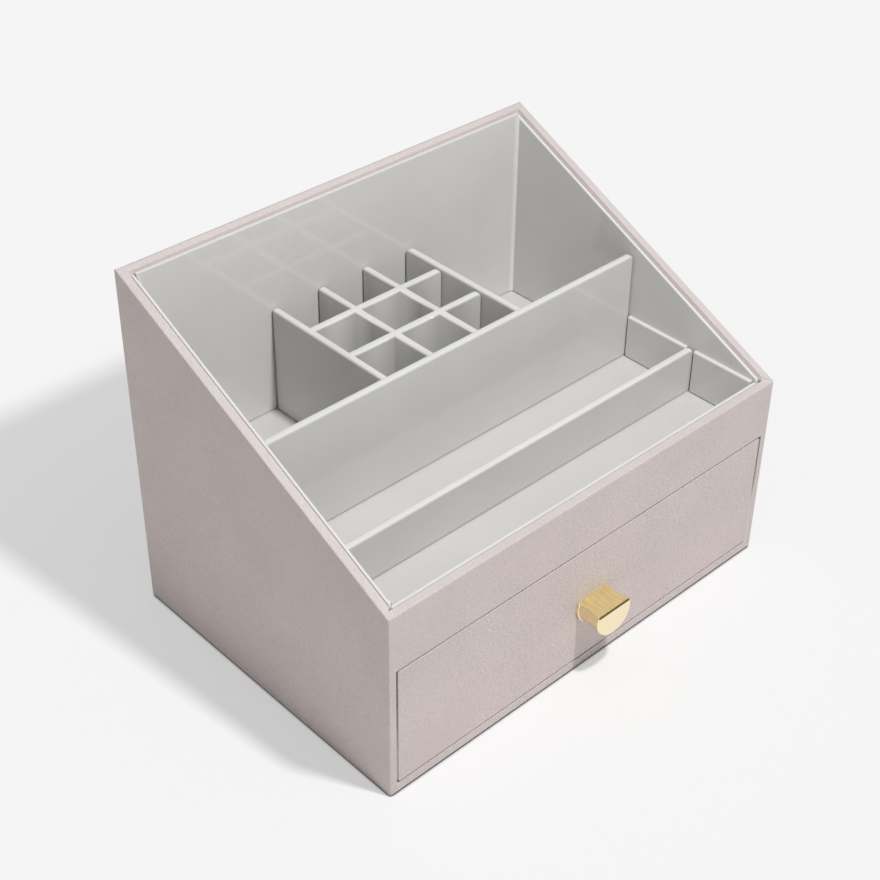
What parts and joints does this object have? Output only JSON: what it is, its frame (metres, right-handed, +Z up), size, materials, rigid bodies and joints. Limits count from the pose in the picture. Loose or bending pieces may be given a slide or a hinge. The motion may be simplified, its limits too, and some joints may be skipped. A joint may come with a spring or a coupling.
{
  "type": "makeup storage case",
  "caption": "Wedge-shaped open makeup case with a divided tray above and a flush pull-out drawer with a half-round handle below.",
  "frame": {"origin": "centre of the base, on the surface that the case stands on", "axes": "+Z up, +X to the right as seen from the drawer side, the drawer faces -Y"},
  "size_m": [0.25, 0.1928, 0.1891],
  "materials": {
    "leatherette": "fine-grained taupe leatherette, satin",
    "grey_liner": "smooth light grey coated board, glossy",
    "fibreboard": "raw medium-density fibreboard",
    "velvet": "short-pile grey velvet",
    "base_felt": "thin dark grey felt",
    "brass": "brushed top, polished face",
    "screw_steel": "plain zinc-plated steel"
  },
  "bodies": {
    "case": {"base_sheet": "base_felt", "outer_wrap": "leatherette", "side_board_left": "fibreboard", "side_board_right": "fibreboard", "back_board": "fibreboard", "front_rail": "fibreboard", "base_board": "fibreboard", "shelf_board": "fibreboard", "tray_liner_left": "grey_liner", "tray_liner_right": "grey_liner", "tray_liner_front": "grey_liner", "tray_liner_back": "grey_liner", "tray_floor": "grey_liner", "front_strip_left": "grey_liner", "front_strip_right": "grey_liner", "middle_strip_left": "grey_liner", "middle_strip_right": "grey_liner", "front_divider": "grey_liner", "tall_divider": "grey_liner", "bay_divider_left": "grey_liner", "bay_divider_right": "grey_liner", "grid_slat_front": "grey_liner", "grid_slat_back": "grey_liner", "grid_cross_left": "grey_liner", "grid_cross_right": "grey_liner"},
    "drawer": {"drawer_front_board": "fibreboard", "drawer_front_wrap": "leatherette", "drawer_side_left": "fibreboard", "drawer_side_right": "fibreboard", "drawer_back": "fibreboard", "drawer_bottom": "fibreboard", "drawer_wrap": "leatherette", "drawer_liner_left": "grey_liner", "drawer_liner_right": "grey_liner", "drawer_liner_front": "grey_liner", "drawer_liner_back": "grey_liner", "drawer_floor_pad": "velvet", "drawer_handle": "brass", "handle_screw": "screw_steel"}
  },
  "joints": [
    {"name": "drawer_slide", "type": "slide", "parent": "case", "child": "drawer", "axis": [0, -1, 0], "range_m": [0, 0.13]}
  ]
}
